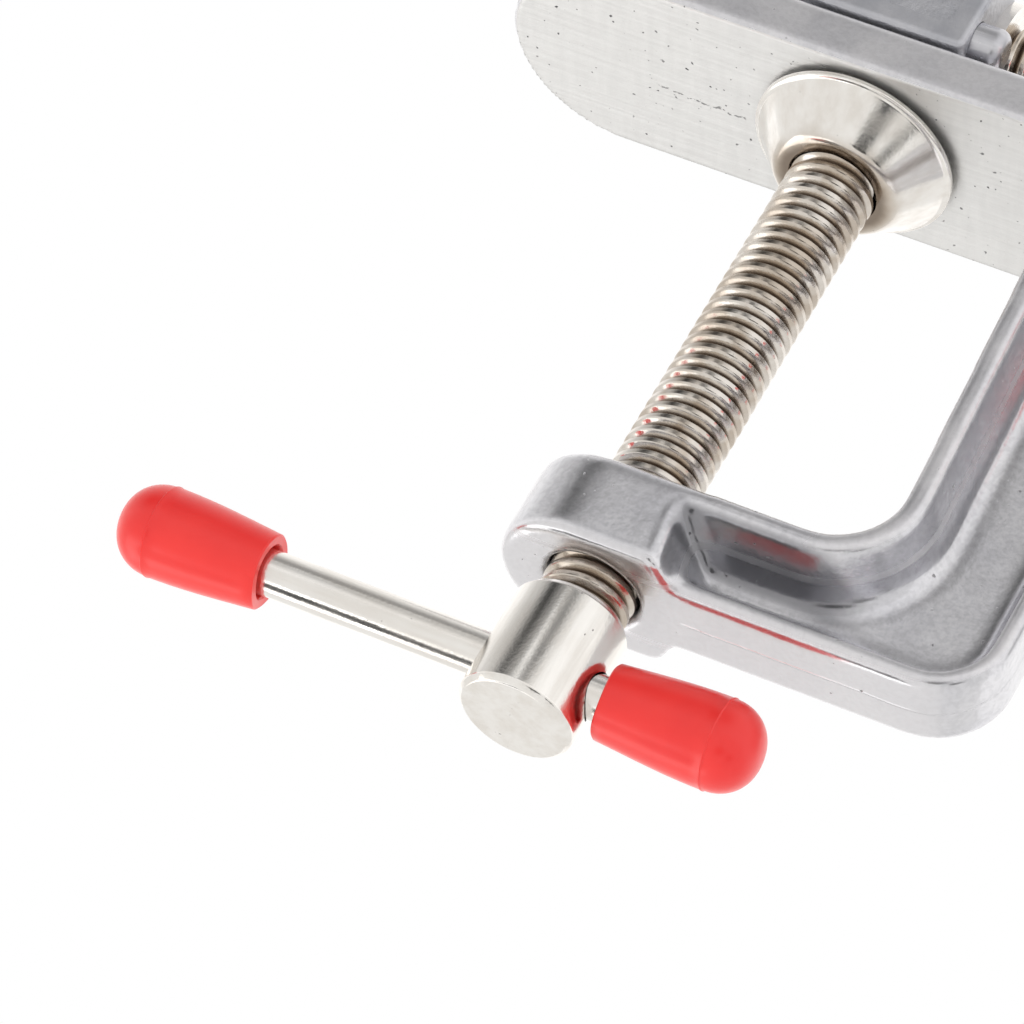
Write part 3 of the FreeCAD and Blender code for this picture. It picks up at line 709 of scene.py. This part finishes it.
def softenCasting(piece, values):
    # each round moves a point part of the way to the mean of its neighbours: freely where the surface is
    # hollow, so that inner corners fill as they do in a mould, and little where it is an outer edge
    mesh = piece.data
    count = len(mesh.vertices)
    points = np.empty(count * 3)
    mesh.vertices.foreach_get("co", points)
    points = points.reshape(-1, 3)
    edges = np.empty(len(mesh.edges) * 2, int)
    mesh.edges.foreach_get("vertices", edges)
    first, second = edges.reshape(-1, 2).T
    ends = np.concatenate([first, second])
    others = np.concatenate([second, first])
    valence = np.bincount(ends, minlength=count)[:, None]
    x, y, z = points.T.copy()
    hollow, edge, rounds = softeningSteps(x, y, z, values)
    for turn in range(values["rounds"]):
        total = np.stack([np.bincount(ends, points[others, k], count) for k in range(3)], 1)
        shift = total / valence - points
        if turn % values["normalsEvery"] == 0:
            mesh.vertices.foreach_set("co", points.ravel())
            mesh.update()
            normals = np.empty(count * 3)
            mesh.vertex_normals.foreach_get("vector", normals)
            normals = normals.reshape(-1, 3)
        outward = (shift * normals).sum(1)
        moving = turn < rounds
        step = np.where(outward > 0, hollow, edge) * moving
        sideways = (shift - normals * outward[:, None]) * values["sideStep"] * moving[:, None]
        points = points + normals * (outward * step)[:, None] + sideways
    flat = np.abs(z) < values["flatBand"]  # the machined underside stays flat
    points[:, 2] = np.where(flat, np.minimum(z, points[:, 2]), points[:, 2])
    mesh.vertices.foreach_set("co", points.ravel())
    mesh.update()
    mesh.shade_smooth()


# materials: each is a small function that fills a node tree
castValues = {
    # the pale grey is painted light on the flange rims, the bed's sides and the arm's underside; the dark
    # grey is the skin's dark specks and the painted shade on the arm's pocket flank
    "skin": (0.59, 0.59, 0.63), "skinLight": (0.73, 0.725, 0.745), "paintedLightGrey": (0.80, 0.785, 0.80),
    "darkSkinAndShade": (0.15, 0.15, 0.165), "ground": (0.75, 0.745, 0.735), "groundShade": 0.93,
    "pit": (0.08, 0.08, 0.085), "roughness": 0.22, "groundRoughness": 0.42, "metallic": 0.88, "coat": 0.35,
    "coatRoughness": 0.10, "flawX": -0.0107, "flawY": 0.0012, "flawSlope": 0.06, "flawWander": 0.0012,
    "boreWander": 0.0008, "jointWander": 0.0003, "flankFromTop": 0.0063,
    "bumpStrength": 0.55, "bumpDistance": 0.00009,
}
castGrain = {  # scale, detail, roughness
    "cloud": (210, 4, 0.6), "fine": (2600, 2, 0.6), "peel": (640, 3, 0.55), "spots": (2300, 1, 0.4),
    "flaw": (1500, 3, 0.7), "along": ((60, 2600, 60), 3, 0.6), "across": ((1500, 240, 1500), 2, 0.5),
}
castEdges = {  # soft edges between the casting's zones, each (from, to) in millimetres
    "ground": (0.03, 0.09), "underBed": (-4, -2), "spine": (10, 15.5), "armStart": (3.4, 4.4),
    "armEnd": (13.5, 17.0), "innerRim": (4.88, 5.12), "innerRimEnd": (5.6, 5.8), "outerRim": (2.72, 2.90),
    "outerRimEnd": (3.10, 3.30), "bedSide": (7.4, 7.7), "bedFrom": (-0.1, 0.2), "bedTo": (3.6, 3.8),
    "flankStart": (1.0, 1.6), "flankEnd": (3.0, 4.0), "bellyLight": (0.1, 0.9), "bore": (3.1, 3.6),
    "boreEnd": (-37.5, -37.0), "flawWidth": (0.01, 0.10), "flawLength": (2.6, 3.6),
    "jointWidth": (0.02, 0.12), "jointTop": (-33.5, -31), "jointStart": (5.5, 6.5),
}


def castSkin(material, values):
    kit = Kit(material)
    place = kit.objectPlace()
    x, y, z = kit.parts(place)
    edge = castEdges
    cloud = kit.noise(place, *castGrain["cloud"])
    fine = kit.noise(place, *castGrain["fine"])
    peel = kit.noise(place, *castGrain["peel"])
    spots = kit.noise(place, *castGrain["spots"])
    along = kit.grain(place, *castGrain["along"])
    across = kit.grain(place, *castGrain["across"])
    # the bed's underside is machined; the flanges' edges and the bed's sides get a painted highlight, a paler
    # grey, and a duller, finer-grained finish
    ground = abs(z).before(edge["ground"])
    underBed = z.before(edge["underBed"])
    onSpine = x.past(edge["spine"])
    onArm = x.past(edge["armStart"]) * x.before(edge["armEnd"])
    innerRim = abs(y).past(edge["innerRim"]) * underBed * abs(y).before(edge["innerRimEnd"])
    innerRim = innerRim * (onSpine * 0.75 + onArm * 0.05)
    bedEdge = abs(y).past(edge["bedSide"]) * z.past(edge["bedFrom"]) * z.before(edge["bedTo"])
    outerRim = abs(y).past(edge["outerRim"]) * abs(y).before(edge["outerRimEnd"]) * underBed
    rim = (innerRim + outerRim * 0.7 + bedEdge * 0.6).clamped() * (0.55 + cloud.band(0.35, 0.6) * 0.45)
    # small pits and crumbs left in the mould skin, and one broken scratch on the machined face
    pits = spots.band(0.745, 0.80) * cloud.band(0.46, 0.60)
    fromFlaw = x - values["flawX"]
    wander = (peel - 0.5) * values["flawWander"]
    flawAcross = abs(y - values["flawY"] - fromFlaw * values["flawSlope"] + wander)
    flaw = flawAcross.before(edge["flawWidth"]) * abs(fromFlaw).before(edge["flawLength"]) * ground
    flaw = flaw * kit.noise(place, *castGrain["flaw"]).band(0.47, 0.56)
    groundPits = (spots.band(0.72, 0.77) * ground + flaw * 1.6).clamped()
    skin = kit.mix(cloud.band(0.2, 0.8) * 0.6 + 0.2, values["skin"], values["skinLight"])
    skin = kit.mix(fine.band(0.42, 0.62) * 0.12, skin, values["darkSkinAndShade"])
    # painted highlight: the flange rims and the bed's sides are mixed towards the pale grey
    skin = kit.mix(rim * 0.6, skin, values["paintedLightGrey"])
    # painted shade: the deep flank of the arm's pocket is darkened towards the dark skin colour, standing in
    # for the dark reflections in the pocket; grime sits round the screw's bore
    underArm = castingLow.z + values["flankFromTop"] - z
    flankShade = underArm.past(edge["flankStart"]) * underArm.before(edge["flankEnd"]) * onArm
    skin = kit.mix(flankShade * 0.80, skin, values["darkSkinAndShade"])
    fromBore = (x * x + y * y) ** 0.5 + (peel - 0.5) * values["boreWander"]
    grime = fromBore.before(edge["bore"]) * z.before(edge["boreEnd"])
    skin = kit.mix(grime * 0.85, skin, values["pit"])
    bellyLight = (z - castingLow.z).before(edge["bellyLight"])  # painted light: the arm's underside is painted paler
    skin = kit.mix(bellyLight * 0.5, skin, values["paintedLightGrey"])
    groundDark = [c * values["groundShade"] for c in values["ground"]]
    worn = kit.mix((along * 0.6 + across * 0.4).band(0.35, 0.65), groundDark, values["ground"])
    colour = kit.mix(ground, skin, worn)
    colour = kit.mix((pits * 0.8 + groundPits * 0.75).clamped(), colour, values["pit"])
    duller = ground * (values["groundRoughness"] - values["roughness"]) + rim * 0.28
    roughness = values["roughness"] + (peel - 0.5) * 0.16 + duller + pits * 0.3
    # thin raised joint of the mould halves along the arm's underside
    jointAcross = abs(y + (cloud - 0.5) * values["jointWander"])
    joint = jointAcross.before(edge["jointWidth"]) * z.before(edge["jointTop"]) * x.past(edge["jointStart"])
    height = peel * 0.6 + fine * (ground * 0.1 + rim * 0.35 + 0.12) + along * 0.5 * ground
    height = height - pits * 0.9 - groundPits * 0.8 + joint * 0.5
    bump = kit.bump(height, values["bumpStrength"], values["bumpDistance"])
    metal = values["metallic"] * (1 - (pits + groundPits + grime).clamped())
    coat = values["coat"] * (1 - (pits + groundPits).clamped())
    coatRoughness = values["coatRoughness"]
    surface(kit, colour, metal, roughness.clamped(), bump, Coat_Weight=coat, Coat_Roughness=coatRoughness)


roughCastValues = {
    "skin": (0.40, 0.41, 0.45), "skinLight": (0.60, 0.60, 0.63), "roughness": 0.36, "metallic": 0.85,
    "cloud": (420, 5, 0.65), "crust": (950, 4, 0.7), "fine": (3200, 2, 0.6), "panelEdge": (-0.24, -0.12),
    "bumpStrength": 0.8, "bumpDistance": 0.00012,
}


def roughCast(material, values):
    # the moving jaw: coarser, duller skin inside its side panels
    kit = Kit(material)
    place = kit.objectPlace()
    x, y, z = kit.parts(place)
    cloud = kit.noise(place, *values["cloud"])
    crust = kit.noise(place, *values["crust"])
    fine = kit.noise(place, *values["fine"])
    panel = (abs(y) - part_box("moving_jaw")[1].y).before(values["panelEdge"])
    skin = kit.mix(cloud.band(0.25, 0.75) * 0.6 + 0.2, values["skin"], values["skinLight"])
    roughness = values["roughness"] + crust * 0.2
    height = crust * (0.35 + panel * 1.3) + fine * 0.15
    bump = kit.bump(height, values["bumpStrength"], values["bumpDistance"])
    surface(kit, skin, values["metallic"], roughness, bump, Coat_Weight=0.2, Coat_Roughness=0.2)


nickelValues = {
    "bright": (0.88, 0.86, 0.83), "dull": (0.77, 0.735, 0.69), "brown": (0.12, 0.085, 0.06),
    "stain": (0.36, 0.27, 0.18), "speck": (0.07, 0.06, 0.055), "roughness": 0.11,
    "streakAcross": 900.0, "streakAlong": 70.0, "turningAcross": 160.0, "turningAlong": 4200.0,
    "cloud": (260, 3, 0.6), "spots": (3100, 1, 0.4), "pebble": (5200, 2, 0.45),
    "rootEdge": (0.04, 0.26), "stainEdge": (0.7, 1.9), "innerStainEdge": (0.3, 1.1), "stainWander": 0.0009,
    "stainHeight": 0.0008, "bumpStrength": 0.5, "bumpDistance": 0.000014,
}


def nickel(material, values, axis, centre, root=None, stain=None, pebbles=1.0):
    # axis 0, 1 or 2 is the direction that the turning left its grain round; root is a thread's core radius
    # and the stretch it lies in, stain the radius of the socket that the brown ring lies round
    kit = Kit(material)
    place = kit.objectPlace()
    shifted = kit.vector("SUBTRACT", place, tuple(centre))
    coordinates = kit.parts(shifted)
    along = coordinates[axis]
    others = [coordinates[i] for i in range(3) if i != axis]
    radius = (others[0] * others[0] + others[1] * others[1]) ** 0.5
    streakScales = [values["streakAcross"]] * 3
    streakScales[axis] = values["streakAlong"]
    streak = kit.grain(shifted, tuple(streakScales), 4, 0.65)
    turningScales = [values["turningAcross"]] * 3
    turningScales[axis] = values["turningAlong"]
    turning = kit.grain(shifted, tuple(turningScales), 2, 0.5)
    cloud = kit.noise(place, *values["cloud"])
    specks = kit.noise(place, *values["spots"]).band(0.745, 0.80) * cloud.band(0.50, 0.64)
    pebble = kit.noise(place, *values["pebble"])
    tone = (streak * 0.65 + cloud * 0.35).band(0.34, 0.66)
    colour = kit.mix(tone, values["dull"], values["bright"])
    height = turning * 0.15 + streak * 0.25 + pebble * pebbles - specks * 0.6
    roughness = values["roughness"] + (1 - tone) * 0.12 + specks * 0.3
    if root:
        inThread = (along > root["from"]) * (along < root["to"])
        # painted shade: the thread's roots are darkened to brown towards the core
        deep = (radius - root["radius"]).before(values["rootEdge"]) * inThread
        film = inThread * (0.26 + (1 - cloud.band(0.4, 0.6)) * 0.34)
        colour = kit.mix(film, colour, values["stain"])
        colour = kit.mix(deep * 0.92, colour, values["brown"])
        roughness = roughness + deep * 0.15
    if stain:
        ragged = radius - stain + (cloud - 0.5) * values["stainWander"]
        nearCrown = along < padLow.z + values["stainHeight"]
        colour = kit.mix(ragged.before(values["stainEdge"]) * nearCrown * 0.65, colour, values["stain"])
        colour = kit.mix(ragged.before(values["innerStainEdge"]) * nearCrown * 0.7, colour, values["brown"])
    colour = kit.mix(specks * 0.8, colour, values["speck"])
    surface(kit, colour, 1.0, roughness, kit.bump(height, values["bumpStrength"], values["bumpDistance"]))


steelValues = {
    "rod": {
        "tone": (0.50, 0.50, 0.53), "light": (0.66, 0.66, 0.69), "roughness": 0.24, "grain": (40, 1500, 1500),
    },
    "plate": {
        "tone": (0.50, 0.50, 0.52), "light": (0.64, 0.64, 0.66), "roughness": 0.30, "grain": (900, 40, 2600),
    },
    "screw": {
        "tone": (0.36, 0.36, 0.38), "light": (0.52, 0.52, 0.54), "roughness": 0.34, "grain": (900, 900, 900),
    },
    "cloud": (300, 3, 0.6), "bumpStrength": 0.3, "bumpDistance": 0.00003,
}


def steel(material, values, shared):
    kit = Kit(material)
    place = kit.objectPlace()
    grain = kit.grain(place, values["grain"], 3, 0.6)
    cloud = kit.noise(place, *shared["cloud"])
    tone = (grain * 0.6 + cloud * 0.4).band(0.35, 0.65)
    colour = kit.mix(tone, values["tone"], values["light"])
    roughness = values["roughness"] + (1 - tone) * 0.12
    surface(kit, colour, 1.0, roughness, kit.bump(grain, shared["bumpStrength"], shared["bumpDistance"]))


vinylValues = {
    "red": (0.93, 0.028, 0.022), "deep": (0.82, 0.014, 0.014), "roughness": 0.34,
    "cloud": (160, 3, 0.55), "grain": (2300, 3, 0.6), "wave": (420, 2, 0.5),
    "bumpStrength": 0.3, "bumpDistance": 0.00005,
}


def redVinyl(material, values):
    kit = Kit(material)
    place = kit.objectPlace()
    cloud = kit.noise(place, *values["cloud"])
    grain = kit.noise(place, *values["grain"])
    wave = kit.noise(place, *values["wave"])
    colour = kit.mix(cloud.band(0.3, 0.7) * 0.6, values["red"], values["deep"])
    roughness = values["roughness"] + (grain - 0.5) * 0.14
    bump = kit.bump(grain * 0.3 + wave, values["bumpStrength"], values["bumpDistance"])
    surface(kit, colour, 0.0, roughness, bump, Coat_Weight=0.25, Coat_Roughness=0.22)


def material(name, fill, *details, **more):
    made = bpy.data.materials.new(name)
    fill(made, *details, **more)
    return made


def dress(piece, made):
    # the same finish in each of a piece's material slots
    if not piece.data.materials:
        piece.data.materials.append(made)
    for slot in piece.material_slots:
        slot.material = made


def standFor(piece, made, node, body):
    # a finished piece takes the place of a node of the frame
    dress(piece, made)
    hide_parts(node)
    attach(piece, body)


# finishes on the frame's own nodes
clampBarCentre = (clampBarLow + clampBarHigh) / 2
mainBarCentre = (mainBarLow + mainBarHigh) / 2
rodSteel = material("rodSteel", steel, steelValues["rod"], steelValues)
plateSteel = material("plateSteel", steel, steelValues["plate"], steelValues)
screwSteel = material("screwSteel", steel, steelValues["screw"], steelValues)
finishes = {
    "moving_jaw": material("roughCast", roughCast, roughCastValues),
    "clamp_handle_bar": material("barNickelAlongX", nickel, nickelValues, 0, clampBarCentre),
    "main_handle_bar": material("barNickelAlongY", nickel, nickelValues, 1, mainBarCentre),
    "lead_screw_thrust_washer": material("washerNickel", nickel, nickelValues, 0, (0, 0, leadZ)),
    "lead_screw_retaining_ring": screwSteel,
}
for jaw in ("fixed_jaw", "moving_jaw"):
    finishes[jaw + "_plate"] = plateSteel
    for side in ("left", "right"):
        finishes[jaw + "_screw_" + side] = screwSteel
for side in ("left", "right"):
    finishes["guide_rod_" + side] = rodSteel
for name, made in finishes.items():
    dress(nodes[name], made)
print("finishes on the frame's own nodes")

castingMesh = frameMeshCopy("body_casting", castingValues["weld"])
casting = evenSkin("bodyCasting", castingMesh, castingValues["voxel"])
softenCasting(casting, castingValues)
castMade = material("castSkin", castSkin, castValues)
standFor(casting, castMade, "body_casting", "frame")
print("casting softened:", len(casting.data.polygons), "faces")

vinyl = material("redVinyl", redVinyl, vinylValues)
capPlan = [
    ("clampCapInner", "clamp_handle_cap_inner", "clamp_handle_bar", (1, 0, 0), "clamp_handle"),
    ("clampCapOuter", "clamp_handle_cap_outer", "clamp_handle_bar", (-1, 0, 0), "clamp_handle"),
    ("mainCapLeft", "main_handle_cap_left", "main_handle_bar", (0, 1, 0), "main_handle"),
    ("mainCapRight", "main_handle_cap_right", "main_handle_bar", (0, -1, 0), "main_handle"),
]
for name, node, bar, way, body in capPlan:
    standFor(makeCap(name, bar, way, capValues), vinyl, node, body)

threadRoot = threadValues["outerRadius"] - threadValues["depth"]
headTop = castingLow.z - clampScrewValues["headTopBelowArm"]
clampThread = {"radius": threadRoot, "from": headTop + 0.1 * mm, "to": padLow.z + 0.5 * mm}
leadThread = {"radius": threadRoot, "from": leadLow.x, "to": leadHigh.x - 8.5 * mm}
clampScrew = makeClampScrew(clampScrewValues)
clampNickel = material("clampScrewNickel", nickel, nickelValues, 2, (0, 0, 0), root=clampThread)
standFor(clampScrew, clampNickel, "clamp_screw", "clamp_screw")
leadScrew = makeLeadScrew(leadScrewValues)
leadNickel = material("leadScrewNickel", nickel, nickelValues, 0, (0, 0, leadZ), root=leadThread)
standFor(leadScrew, leadNickel, "lead_screw", "lead_screw")
socket = padValues["socketRadius"]
padNickel = material("padNickel", nickel, nickelValues, 2, (0, 0, 0), stain=socket, pebbles=0.35)
standFor(makePad(padValues), padNickel, "clamp_pad", "clamp_pad")
print("turned pieces and caps ready")
